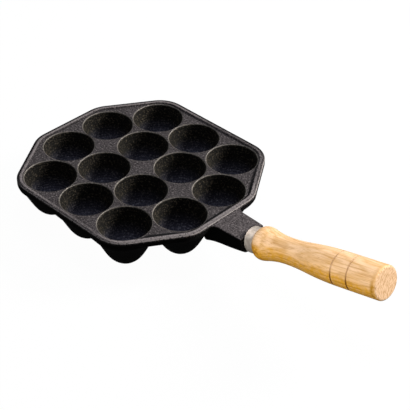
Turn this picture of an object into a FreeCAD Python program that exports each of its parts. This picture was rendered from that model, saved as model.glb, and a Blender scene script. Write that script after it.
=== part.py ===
import FreeCAD, Part
import Sketcher
import math
import os

# A hand-held takoyaki pan: one iron casting with deep round cups and a neck, and a turned wooden
# grip held on the neck by a steel stud, with a steel ferrule round the grip's front end.
#
# Millimetres, +Z up.  The casting is drawn about the middle of its plate, with the plate's cooking
# face at height 0.  The grip's pieces are drawn along their own X axis, from the neck's end face.
# Each piece's Placement then puts it where the finished pan stands on its cups, centred on 0, 0.

# ---------------------------------------------------------------- driving sizes

SIZES = {
    # the octagonal plate, measured over its edges
    "plate_length": 178.8,
    "plate_width": 166.4,
    "plate_over_chamfers": 184.4,
    "chamfer_degrees": 33.4,        # how far a chamfer's normal is turned from the plate's length
    "corner_radius": 24.0,
    "plate_thickness": 4.5,
    "edge_rounding": 1.2,
    "under_edge_rounding": 0.8,
    # the raised rim
    "rim_width": 5.0,
    "rim_rise": 1.3,
    "rim_slope_degrees": 40.0,      # lean of the rim's inner side from upright
    # the cups, from above
    "cup_pitch": 42.0,
    "inner_row_gap": 41.5,
    "outer_row_gap": 36.5,
    "inner_row_cups": 4,
    "outer_row_cups": 3,
    "cup_mouth_radius": 20.0,
    "cup_lip_radius": 1.2,
    "cup_bowl_radius": 15.5,
    "cup_depth": 28.5,
    # the cups, from below
    "shell_bowl_radius": 17.0,
    "shell_depth": 34.0,            # to where the shell's ball would end without its foot
    "shell_draft_degrees": 25.0,
    "shell_flare_radius": 8.0,
    "foot_radius": 4.5,
    # the neck
    "neck_root_width": 26.0,
    "neck_tip_width": 23.0,
    "neck_step": 1.0,               # from the rim's top down to the neck's top
    "neck_arch_depth": 14.0,        # of the underside's arch, at its crown, below the cooking face
    "neck_arch_reach": 16.6,        # of the crown, from the plate's edge
    "neck_arch_radius": 55.0,
    "neck_tip_depth": 12.0,
    "neck_gusset_radius": 5.0,
    "neck_under_plate": 22.0,       # how far it reaches in under the plate
    "neck_under_slope": 14.0,       # of that, the length that slopes down to the root
    "neck_edge_rounding": 2.5,
    "neck_bore_depth": 16.0,
    # the grip's axis
    "axis_reach": 27.6,             # from the plate's edge to where the axis leaves the neck
    "axis_drop": 5.12,              # of that point below the cooking face
    "axis_tilt_degrees": 14.0,
    # the stud
    "stud_radius": 4.0,
    "stud_in_neck": 14.0,
    "stud_in_grip": 34.0,
    "stud_chamfer": 1.0,
    "stud_point": 5.0,
    "neck_thread_pitch": 1.25,
    "neck_thread_depth": 0.7,
    "wood_thread_pitch": 3.0,
    "wood_thread_depth": 1.0,
    "plain_shank": 6.0,             # the stud's unthreaded middle, from the neck's end face
    "thread_clearance": 0.05,
    # the ferrule
    "ferrule_radius": 10.0,
    "ferrule_wall": 0.8,
    "ferrule_length": 8.5,
    "ferrule_corner_radius": 1.6,
    "ferrule_hole_clearance": 0.3,
    # the grip
    "spigot_clearance": 0.1,
    "spigot_end_gap": 0.2,
    "shoulder_radius": 10.3,
    "bulge_from_shoulder": 5.0,
    "bulge_radius": 12.6,
    "bulge_crown_radius": 16.0,
    "waist_from_shoulder": 28.0,
    "waist_radius": 9.65,
    "barrel_from_waist": 49.5,
    "barrel_radius": 12.5,
    "barrel_crown_radius": 270.0,
    "barrel_length": 36.0,
    "end_rounding": 1.8,
    "groove_width": 1.1,
    "groove_depth": 0.6,
    "groove_from_end": 38.3,
    "groove_spacing": 13.8,
    "grooves": 2,
    "grip_bore_spare": 3.0,         # left free beyond the stud's point
}


# ---------------------------------------------------------------- the document and its helpers

doc = FreeCAD.newDocument("takoyaki_pan")
sheet = doc.addObject("Spreadsheet::Sheet", "sizes")
for row, (name, number) in enumerate(SIZES.items(), start=1):
    sheet.set(f"A{row}", name)
    sheet.set(f"B{row}", str(number))
    sheet.setAlias(f"B{row}", name)
doc.recompute()


class Size:
    """A number, together with the expression on the sheet that it comes from."""

    def __init__(self, value, text):
        self.value = value
        self.text = text

    @staticmethod
    def of(other):
        return other if isinstance(other, Size) else Size(other, str(other))

    def __add__(self, other):
        other = Size.of(other)
        return Size(self.value + other.value, f"({self.text} + {other.text})")

    def __sub__(self, other):
        other = Size.of(other)
        return Size(self.value - other.value, f"({self.text} - {other.text})")

    def __rsub__(self, other):
        return Size.of(other) - self

    def __mul__(self, other):
        other = Size.of(other)
        return Size(self.value * other.value, f"({self.text} * {other.text})")

    def __truediv__(self, other):
        other = Size.of(other)
        return Size(self.value / other.value, f"({self.text} / {other.text})")

    def __neg__(self):
        return Size(-self.value, f"(-{self.text})")


def root(size):
    return Size(math.sqrt(size.value), f"sqrt({size.text})")


def cosine(size):
    return Size(math.cos(math.radians(size.value)), f"cos({size.text} * 1 deg)")


def sine(size):
    return Size(math.sin(math.radians(size.value)), f"sin({size.text} * 1 deg)")


def whole(size):
    return Size(math.floor(size.value), f"floor({size.text})")


class Sheet:
    """Reads the spreadsheet's cells by name."""

    def __getattr__(self, name):
        return Size(float(sheet.get(name)), f"sizes.{name}")


s = Sheet()


def bind(thing, prop, size):
    """Tie a property to the sheet."""
    thing.setExpression(prop, size.text)


def new_body(name):
    body = doc.addObject("PartDesign::Body", name)
    body.Label = name
    return body


def new_sketch(body, name, plane, x=None, y=None, out=None):
    """A sketch on one of the body's origin planes, moved along the plane and out of it."""
    sketch = body.newObject("Sketcher::SketchObject", name)
    support = next(f for f in body.Origin.OriginFeatures if f.Role == plane)
    sketch.AttachmentSupport = (support, [""])
    sketch.MapMode = "FlatFace"
    for letter, size in (("x", x), ("y", y), ("z", out)):
        if size is not None:
            bind(sketch, f"AttachmentOffset.Base.{letter}", size)
    return sketch


ORIGIN = (-1, 1)
X_AXIS, Y_AXIS = -1, -2
START, END, CENTRE = 1, 2, 3


class Outline:
    """A closed outline in a sketch, drawn edge after edge and then held by constraints."""

    def __init__(self, sketch, x, y):
        self.sketch = sketch
        self.pen = FreeCAD.Vector(x, y, 0)
        self.ends = []

    def rule(self, kind, *where):
        return self.sketch.addConstraint(Sketcher.Constraint(kind, *where))

    def size(self, size, kind, *where):
        """A driving constraint, tied to the sheet."""
        value = math.radians(size.value) if kind == "Angle" else size.value
        number = self.rule(kind, *where, value)
        bind(self.sketch, f"Constraints[{number}]", size)

    def add(self, shape, first, last, end, smooth):
        number = self.sketch.addGeometry(shape)
        if self.ends:
            self.join(self.ends[-1], (number, first, last), smooth)
        self.ends.append((number, first, last))
        self.pen = end
        return number

    def join(self, before, after, smooth):
        self.rule("Tangent" if smooth else "Coincident", before[0], before[2], after[0], after[1])

    def line(self, x, y, smooth=False):
        end = FreeCAD.Vector(x, y, 0)
        return self.add(Part.LineSegment(self.pen, end), START, END, end, smooth)

    def arc(self, x, y, centre_x, centre_y, left, smooth=True):
        """An arc from the pen to x, y, turning left or right about its centre."""
        end = FreeCAD.Vector(x, y, 0)
        centre = FreeCAD.Vector(centre_x, centre_y, 0)
        circle = Part.Circle(centre, FreeCAD.Vector(0, 0, 1), (end - centre).Length)
        first, last = (self.pen, end) if left else (end, self.pen)
        low, high = circle.parameter(first), circle.parameter(last)
        if high < low:
            high += 2 * math.pi
        shape = Part.ArcOfCircle(circle, low, high)
        return self.add(shape, START if left else END, END if left else START, end, smooth)

    def close(self, smooth=False):
        self.join(self.ends[-1], self.ends[0], smooth)

    def place(self, edge, point, x=None, y=None):
        """Hold a point of an edge at x and y, each a size, or 0 for on the axis."""
        for kind, size, axis in (("DistanceX", x, Y_AXIS), ("DistanceY", y, X_AXIS)):
            if size is None:
                continue
            if not isinstance(size, Size):
                self.rule("PointOnObject", edge, point, axis)
            elif size.value < 0:
                self.size(-size, kind, edge, point, *ORIGIN)
            else:
                self.size(size, kind, *ORIGIN, edge, point)

    def level(self, *edges):
        for edge in edges:
            self.rule("Horizontal", edge)

    def upright(self, *edges):
        for edge in edges:
            self.rule("Vertical", edge)


def feature(body, kind, name, sketch=None, **sizes):
    """A PartDesign feature made from a sketch, with its sizes tied to the sheet."""
    made = body.newObject(f"PartDesign::{kind}", name)
    if sketch is not None:
        made.Profile = sketch
    for prop, size in sizes.items():
        bind(made, prop, size)
    return made


def spin(body, kind, name, sketch, axis):
    """A full Revolution or Groove of a sketch about one of its own axes."""
    made = feature(body, kind, name, sketch)
    made.ReferenceAxis = (sketch, [axis])
    made.Angle = 360
    return made


def repeat(body, name, seed, sketch, spacing, count, rows_apart=None):
    """Copies of a feature along a sketch's X and, where rows_apart is given, a second row along Y."""
    made = body.newObject("PartDesign::LinearPattern", name)
    made.Originals = [seed]
    made.Direction = (sketch, ["H_Axis"])
    made.Mode = "Spacing"
    bind(made, "Offset", spacing)
    bind(made, "Occurrences", count)
    if rows_apart is not None:
        made.Direction2 = (sketch, ["V_Axis"])
        made.Mode2 = "Extent"
        bind(made, "Length2", rows_apart)
        made.Occurrences2 = 2
    body.Tip = made
    return made


# ---------------------------------------------------------------- places worked out from the sizes

NEAR = 0.01                         # how closely an edge or face has to lie where it is looked for
overrun = s.rim_rise * 2            # how far a cutting shape reaches past what it cuts

half_length = s.plate_length / 2
half_width = s.plate_width / 2
chamfer_reach = s.plate_over_chamfers / 2
neck_top = s.rim_rise - s.neck_step
axis_x = half_length + s.axis_reach

foot_cut = s.shell_bowl_radius - root(s.shell_bowl_radius * s.shell_bowl_radius
                                      - s.foot_radius * s.foot_radius)
standing_height = s.shell_depth - foot_cut

barrel_start = s.ferrule_length + s.waist_from_shoulder + s.barrel_from_waist
grip_length = barrel_start + s.barrel_length
grip_reach = (axis_x + (grip_length - s.end_rounding) * cosine(s.axis_tilt_degrees)
              + (s.barrel_radius - s.end_rounding) * sine(s.axis_tilt_degrees) + s.end_rounding)
plate_x = (half_length - grip_reach) / 2

row_offsets = {
    "inner": (s.inner_row_gap / 2, s.inner_row_cups),
    "outer": (s.inner_row_gap / 2 + s.outer_row_gap, s.outer_row_cups),
}


# ---------------------------------------------------------------- the casting

def draw_octagon(sketch, inset, tongue=None):
    """The plate's outline with its round corners, smaller by an inset all round.

    With a tongue, a half width and a reach, the handle side also runs out that far along the neck.
    """
    turn = s.chamfer_degrees.value
    normals = [0, turn, 90, 180 - turn, 180, 180 + turn, 270, 360 - turn]
    reaches = [half_length - inset, chamfer_reach - inset, half_width - inset, chamfer_reach - inset] * 2
    radius = s.corner_radius - inset

    def unit(side):
        angle = math.radians(normals[side % 8])
        return math.cos(angle), math.sin(angle)

    def corner(side):
        """The centre of the round corner between a side and the next one."""
        (ax, ay), (bx, by) = unit(side), unit(side + 1)
        a = reaches[side % 8].value - radius.value
        b = reaches[(side + 1) % 8].value - radius.value
        across = ax * by - ay * bx
        return (a * by - b * ay) / across, (b * ax - a * bx) / across

    def touch(side, centre):
        nx, ny = unit(side)
        return centre[0] + radius.value * nx, centre[1] + radius.value * ny

    outline = Outline(sketch, *touch(0, corner(-1)))
    if tongue:
        half, reach = tongue
        lower = outline.line(reaches[0].value, -half.value)
        near = outline.line(reach.value, -half.value)
        tip = outline.line(reach.value, half.value)
        far = outline.line(reaches[0].value, half.value)
    sides, arcs = [], []
    for side in range(8):
        centre = corner(side)
        sides.append(outline.line(*touch(side, centre), smooth=side > 0))
        arcs.append(outline.arc(*touch(side + 1, centre), *centre, left=True))
    outline.close(smooth=True)

    if tongue:
        outline.upright(lower, tip)
        outline.level(near, far)
        outline.place(near, START, reaches[0], -half)
        outline.place(tip, START, reach)
        outline.place(far, START, y=half)
    outline.upright(sides[0], sides[4])
    outline.level(sides[2], sides[6])
    outline.size(s.chamfer_degrees + 90, "Angle", sides[1])
    outline.size(-(s.chamfer_degrees + 90), "Angle", sides[3])
    outline.rule("Parallel", sides[1], sides[5])
    outline.rule("Parallel", sides[3], sides[7])
    for side, reach in zip(sides, reaches):
        outline.size(reach, "Distance", *ORIGIN, side)
    outline.size(radius, "Radius", arcs[0])
    for arc in arcs[1:]:
        outline.rule("Equal", arcs[0], arc)


def make_plate(body):
    """The octagonal slab, with its edges rounded above and below."""
    sketch = new_sketch(body, "slab_outline", "XY_Plane", out=-s.plate_thickness)
    draw_octagon(sketch, Size.of(0))
    solid = feature(body, "Pad", "slab", sketch, Length=s.plate_thickness + s.rim_rise)
    for name, up, radius in (("rim_edge", 1, s.edge_rounding), ("under_edge", -1, s.under_edge_rounding)):
        doc.recompute()
        level = [f"Face{n}" for n, face in enumerate(solid.Shape.Faces, start=1)
                 if face.normalAt(0, 0).z * up > 1 - NEAR]
        rounding = feature(body, "Fillet", name, Radius=radius)
        rounding.Base = (solid, level)
        solid = rounding


def cut_recess(body):
    """The shallow recess in the plate and in the neck's root, which leaves the rim standing."""
    sketch = new_sketch(body, "recess_outline", "XY_Plane")
    draw_octagon(sketch, s.rim_width)
    recess = feature(body, "Pocket", "recess", sketch,
                     Length=overrun, TaperAngle=s.rim_slope_degrees)
    recess.Reversed = True


def make_neck(body):
    """The neck: a tapered bar from under the plate to the end face that the grip seats on."""
    inner_x = half_length - s.neck_under_plate
    taper_x = half_length + s.neck_gusset_radius
    root_x = inner_x + s.neck_under_slope
    crown_x = half_length + s.neck_arch_reach
    arch_run = crown_x - root_x
    root_depth = (s.neck_arch_depth + s.neck_arch_radius
                  - root(s.neck_arch_radius * s.neck_arch_radius - arch_run * arch_run))
    blank_x = axis_x + root_depth
    root_y = s.neck_root_width / 2
    tip_y = s.neck_tip_width / 2

    # from above
    sketch = new_sketch(body, "neck_plan", "XY_Plane", out=neck_top)
    plan = Outline(sketch, inner_x.value, -root_y.value)
    near = plan.line(taper_x.value, -root_y.value)
    near_taper = plan.line(blank_x.value, -tip_y.value)
    tip = plan.line(blank_x.value, tip_y.value)
    far_taper = plan.line(taper_x.value, root_y.value)
    far = plan.line(inner_x.value, root_y.value)
    inner = plan.line(inner_x.value, -root_y.value)
    plan.close()
    plan.level(near, far)
    plan.upright(tip, inner)
    plan.place(near, START, inner_x, -root_y)
    plan.place(near, END, taper_x)
    plan.place(near_taper, END, blank_x, -tip_y)
    plan.place(far_taper, START, y=tip_y)
    plan.place(far, START, taper_x, root_y)
    bar = feature(body, "Pad", "neck_bar", sketch, Length=neck_top + root_depth + overrun)
    bar.Reversed = True

    # from the side: what is cut away beyond the end face and below the underside, which slopes down
    # between the cups to its root, arches up from there, and rises straight on to the end face
    tilt = s.axis_tilt_degrees
    above = neck_top + overrun
    below = -(root_depth + overrun * 2)
    across = s.neck_root_width + overrun * 2
    end_x = axis_x + (s.neck_tip_depth - s.axis_drop) * sine(tilt) / cosine(tilt)
    top_x = axis_x - (s.axis_drop + above) * sine(tilt) / cosine(tilt)
    far_x = blank_x + overrun
    centre_z = -(s.neck_arch_depth + s.neck_arch_radius)

    # the straight rise touches the arch where the line from the tip meets its circle
    radius, tip_z = s.neck_arch_radius.value, -s.neck_tip_depth.value
    run, climb = end_x.value - crown_x.value, tip_z - centre_z.value
    touch = math.atan2(climb, run) + math.acos(radius / math.hypot(run, climb))
    touch_x = crown_x.value + radius * math.cos(touch)
    touch_z = centre_z.value + radius * math.sin(touch)

    sketch = new_sketch(body, "neck_side", "XZ_Plane")
    side = Outline(sketch, inner_x.value, -s.plate_thickness.value)
    slope = side.line(root_x.value, -root_depth.value)
    arch = side.arc(touch_x, touch_z, crown_x.value, centre_z.value, left=False, smooth=False)
    rise = side.line(end_x.value, tip_z, smooth=True)
    face = side.line(top_x.value, above.value)
    over = side.line(far_x.value, above.value)
    beyond = side.line(far_x.value, below.value)
    under = side.line(inner_x.value, below.value)
    back = side.line(inner_x.value, -s.plate_thickness.value)
    side.close()
    side.level(over, under)
    side.upright(beyond, back)
    side.place(slope, START, inner_x, -s.plate_thickness)
    side.place(slope, END, root_x)
    side.place(arch, CENTRE, crown_x, centre_z)
    side.size(s.neck_arch_radius, "Radius", arch)
    side.place(rise, END, end_x, -s.neck_tip_depth)
    side.place(face, END, top_x, above)
    side.place(over, END, far_x)
    side.place(beyond, END, y=below)
    cut = feature(body, "Pocket", "neck_cut", sketch, Length=across)
    cut.Midplane = True
    doc.recompute()

    def runs_along_lower_side(edge):
        ends = [vertex.Point for vertex in edge.Vertexes]
        if len(ends) != 2 or abs(ends[0].x - ends[1].x) < NEAR or ends[0].y * ends[1].y < 0:
            return False
        return all(abs(end.y) > tip_y.value - NEAR and end.z < NEAR - s.neck_tip_depth.value
                   and end.x > root_x.value - NEAR for end in ends)

    lower = [f"Edge{n}" for n, edge in enumerate(cut.Shape.Edges, start=1) if runs_along_lower_side(edge)]
    rounding = feature(body, "Fillet", "neck_edges", Radius=s.neck_edge_rounding)
    rounding.Base = (cut, lower)


def make_gussets(body):
    """The round gussets that widen the neck where it meets the plate's edge."""
    taper_x = half_length + s.neck_gusset_radius
    root_y = s.neck_root_width / 2
    inside_x = half_length - s.rim_width / 2
    foot_y = root_y + s.neck_gusset_radius
    sketch = new_sketch(body, "gusset_plan", "XY_Plane", out=neck_top)
    web = Outline(sketch, half_length.value, -foot_y.value)
    near = web.arc(taper_x.value, -root_y.value, taper_x.value, -foot_y.value, left=False)
    across = web.line(taper_x.value, root_y.value)
    far = web.arc(half_length.value, foot_y.value, taper_x.value, foot_y.value, left=False, smooth=False)
    far_edge = web.line(inside_x.value, foot_y.value)
    inside = web.line(inside_x.value, -foot_y.value)
    near_edge = web.line(half_length.value, -foot_y.value)
    web.close()
    web.upright(across, inside)
    web.level(far_edge, near_edge)
    web.place(near, CENTRE, taper_x, -foot_y)
    web.place(far, CENTRE, taper_x, foot_y)
    web.place(across, START, y=-root_y)
    web.place(across, END, taper_x, root_y)
    web.place(near, END, y=-foot_y)
    web.place(far_edge, START, y=foot_y)
    web.place(inside, START, inside_x)
    gussets = feature(body, "Pad", "gussets", sketch, Length=neck_top + s.plate_thickness)
    gussets.Reversed = True


def shell_profile(body, name, x, y):
    """Half of a cup's outside, from its flared top just inside the plate to its flat foot."""
    sketch = new_sketch(body, name, "XZ_Plane", x=x, out=-y)
    draft = math.radians(s.shell_draft_degrees.value)
    lean, rise = math.cos(draft), math.sin(draft)
    ball, flare, foot = s.shell_bowl_radius.value, s.shell_flare_radius.value, s.foot_radius.value
    centre_z = ball - s.shell_depth.value
    top = -(s.plate_thickness / 3)  # the flare's level end, inside the plate
    top_z = top.value
    touch_x, touch_z = ball * lean, centre_z - ball * rise
    flare_z = top_z - flare
    flare_x = touch_x + (flare + (flare_z - touch_z) * rise) / lean
    foot_z = centre_z - math.sqrt(ball ** 2 - foot ** 2)

    half = Outline(sketch, 0, top_z)
    lid = half.line(flare_x, top_z)
    bend = half.arc(flare_x - flare * lean, flare_z + flare * rise, flare_x, flare_z, left=True)
    cone = half.line(touch_x, touch_z, smooth=True)
    bowl = half.arc(foot, foot_z, 0, centre_z, left=False)
    base = half.line(0, foot_z)
    axis = half.line(0, top_z)
    half.close()
    half.level(lid, base)
    half.upright(axis)
    half.place(lid, START, 0, top)
    half.place(bowl, CENTRE, 0, s.shell_bowl_radius - s.shell_depth)
    half.place(base, START, s.foot_radius)
    half.size(s.shell_bowl_radius, "Radius", bowl)
    half.size(s.shell_flare_radius, "Radius", bend)
    half.size(90 - s.shell_draft_degrees, "Angle", X_AXIS, 1, cone, END)
    return sketch


def cup_profile(body, name, x, y):
    """Half of a cup's inside, from just above the cooking face to the bottom of its bowl."""
    sketch = new_sketch(body, name, "XZ_Plane", x=x, out=-y)
    ball, lip, mouth = s.cup_bowl_radius.value, s.cup_lip_radius.value, s.cup_mouth_radius.value
    centre_z = ball - s.cup_depth.value
    above = s.cup_lip_radius / 4    # where the outline starts, clear of the cooking face
    top_z = above.value
    # the lip's arc bulges towards the bowl's axis, and the wall touches both it and the bowl
    lip_x, lip_z = mouth + lip, top_z - lip
    apart = math.hypot(lip_x, lip_z - centre_z)
    lean = math.acos((ball + lip) / apart) - math.atan2(lip_z - centre_z, lip_x)
    nx, nz = math.cos(lean), -math.sin(lean)

    half = Outline(sketch, 0, top_z)
    top = half.line(lip_x, top_z)
    edge = half.arc(lip_x - lip * nx, lip_z - lip * nz, lip_x, lip_z, left=True)
    wall = half.line(ball * nx, centre_z + ball * nz, smooth=True)
    bowl = half.arc(0, centre_z - ball, 0, centre_z, left=False)
    axis = half.line(0, top_z)
    half.close()
    half.level(top)
    half.upright(axis)
    half.place(top, START, 0, above)
    half.place(edge, CENTRE, s.cup_mouth_radius + s.cup_lip_radius)
    half.size(s.cup_lip_radius, "Radius", edge)
    half.place(bowl, CENTRE, 0, s.cup_bowl_radius - s.cup_depth)
    half.size(s.cup_bowl_radius, "Radius", bowl)
    return sketch


def make_cup_rows(body, kind, part, profile):
    """The same feature at every cup: a first one in each pair of rows, and its copies."""
    for row, (row_y, cups) in row_offsets.items():
        first_x = -(s.cup_pitch * (cups - 1) / 2)
        sketch = profile(body, f"{row}_{part}_profile", first_x, -row_y)
        first = spin(body, kind, f"{row}_{part}", sketch, "V_Axis")
        repeat(body, f"{row}_{part}s", first, rows_plan, s.cup_pitch, cups, rows_apart=row_y * 2)


def trim_shells(body):
    """Cuts off what the shells' flares leave standing out past the plate's edge."""
    margin = s.shell_bowl_radius
    out_x, out_y = axis_x + margin, half_width + margin
    sketch = new_sketch(body, "trim_outline", "XY_Plane")
    draw_octagon(sketch, Size.of(0), tongue=(s.neck_root_width / 2, axis_x + margin / 2))
    frame = Outline(sketch, -out_x.value, -out_y.value)
    near = frame.line(out_x.value, -out_y.value)
    right = frame.line(out_x.value, out_y.value)
    far = frame.line(-out_x.value, out_y.value)
    left = frame.line(-out_x.value, -out_y.value)
    frame.close()
    frame.level(near, far)
    frame.upright(right, left)
    frame.place(near, START, -out_x, -out_y)
    frame.place(right, END, out_x, out_y)
    feature(body, "Pocket", "trim", sketch, Length=s.shell_depth)


def make_neck_bore(body):
    """The tapped hole for the stud, square to the neck's end face."""
    sketch = new_sketch(body, "bore_profile", "XZ_Plane", x=axis_x, y=-s.axis_drop)
    bind(sketch, "AttachmentOffset.Rotation.Angle", s.axis_tilt_degrees)
    radius = s.stud_radius + s.thread_clearance
    point_x = s.neck_bore_depth + radius / 2
    half = Outline(sketch, overrun.value, 0)
    mouth = half.line(overrun.value, radius.value)
    wall = half.line(-s.neck_bore_depth.value, radius.value)
    cone = half.line(-point_x.value, 0)
    axis = half.line(s.rim_rise.value, 0)
    half.close()
    half.upright(mouth)
    half.level(wall, axis)
    half.place(mouth, START, overrun, 0)
    half.place(wall, END, -s.neck_bore_depth, radius)
    half.place(cone, END, -point_x)
    spin(body, "Groove", "neck_bore", sketch, "H_Axis")


pan = new_body("pan")
rows_plan = new_sketch(pan, "rows_plan", "XY_Plane")
make_plate(pan)
make_neck(pan)
cut_recess(pan)
make_cup_rows(pan, "Revolution", "shell", shell_profile)
trim_shells(pan)
make_gussets(pan)
make_cup_rows(pan, "Groove", "hollow", cup_profile)
make_neck_bore(pan)
bind(pan, "Placement.Base.x", plate_x)
bind(pan, "Placement.Base.z", standing_height)


# ---------------------------------------------------------------- the pieces on the grip's axis

def put_on_axis(body):
    """Puts a piece drawn along X where the grip's axis leaves the neck, and tilts it upwards."""
    body.Placement.Rotation = FreeCAD.Rotation(FreeCAD.Vector(0, -1, 0), s.axis_tilt_degrees.value)
    bind(body, "Placement.Rotation.Angle", s.axis_tilt_degrees)
    bind(body, "Placement.Base.x", plate_x + axis_x)
    bind(body, "Placement.Base.z", standing_height - s.axis_drop)


def cut_rings(body, name, middle_x, surface, width, depth, spacing, count):
    """V-shaped grooves round a piece, at even spacings along it."""
    crest = surface + depth / 4     # clear of the surface
    sketch = new_sketch(body, f"{name}_profile", "XZ_Plane", x=middle_x)
    ring = Outline(sketch, -width.value / 2, crest.value)
    flank = ring.line(0, (surface - depth).value)
    other = ring.line(width.value / 2, crest.value)
    top = ring.line(-width.value / 2, crest.value)
    ring.close()
    ring.level(top)
    ring.place(flank, START, -(width / 2), crest)
    ring.place(flank, END, 0, surface - depth)
    ring.place(other, END, width / 2)
    first = spin(body, "Groove", f"{name}_ring", sketch, "H_Axis")
    repeat(body, f"{name}_rings", first, sketch, spacing, count)


def cut_thread(body, name, start_x, pitch, depth, length):
    """Rings side by side, which stand in for a screw thread's turns."""
    cut_rings(body, name, start_x + pitch / 2, s.stud_radius, pitch, depth, pitch, whole(length / pitch))


def make_stud(body):
    """A hanger bolt: a machine thread in the neck, a plain shank, and a wood thread in the grip."""
    back, front = -s.stud_in_neck, s.stud_in_grip
    shoulder = front - s.stud_point
    chamfer_r = s.stud_radius - s.stud_chamfer
    sketch = new_sketch(body, "stud_profile", "XZ_Plane")
    half = Outline(sketch, back.value, 0)
    end = half.line(back.value, chamfer_r.value)
    chamfer = half.line((back + s.stud_chamfer).value, s.stud_radius.value)
    shank = half.line(shoulder.value, s.stud_radius.value)
    point = half.line(front.value, 0)
    axis = half.line(back.value, 0)
    half.close()
    half.upright(end)
    half.level(shank, axis)
    half.place(end, START, back, 0)
    half.place(end, END, y=chamfer_r)
    half.place(chamfer, END, back + s.stud_chamfer, s.stud_radius)
    half.place(shank, END, shoulder)
    half.place(point, END, front)
    spin(body, "Revolution", "rod", sketch, "H_Axis")
    cut_thread(body, "machine_thread", back + s.stud_chamfer, s.neck_thread_pitch,
               s.neck_thread_depth, s.stud_in_neck - s.stud_chamfer)
    cut_thread(body, "wood_thread", s.plain_shank, s.wood_thread_pitch,
               s.wood_thread_depth, shoulder - s.plain_shank)


def make_ferrule(body):
    """A drawn steel cap: a short tube whose front end is turned in round the stud."""
    inner = s.ferrule_radius - s.ferrule_wall
    hole = s.stud_radius + s.ferrule_hole_clearance
    bend_r = s.ferrule_radius - s.ferrule_corner_radius
    sketch = new_sketch(body, "ferrule_profile", "XZ_Plane")
    wall, bend, length = s.ferrule_wall.value, s.ferrule_corner_radius.value, s.ferrule_length.value
    half = Outline(sketch, 0, hole.value)
    front = half.line(0, bend_r.value)
    outer_bend = half.arc(bend, s.ferrule_radius.value, bend, bend_r.value, left=False)
    outside = half.line(length, s.ferrule_radius.value, smooth=True)
    rear = half.line(length, inner.value)
    inside = half.line(bend, inner.value)
    inner_bend = half.arc(wall, bend_r.value, bend, bend_r.value, left=True)
    lining = half.line(wall, hole.value, smooth=True)
    hole_wall = half.line(0, hole.value)
    half.close()
    half.upright(front, rear)
    half.level(inside, hole_wall)
    half.place(front, START, 0, hole)
    half.place(outer_bend, CENTRE, s.ferrule_corner_radius, bend_r)
    half.place(outside, END, s.ferrule_length, s.ferrule_radius)
    half.place(rear, END, y=inner)
    half.rule("Coincident", outer_bend, CENTRE, inner_bend, CENTRE)
    half.place(lining, END, s.ferrule_wall)
    spin(body, "Revolution", "shell", sketch, "H_Axis")


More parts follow.
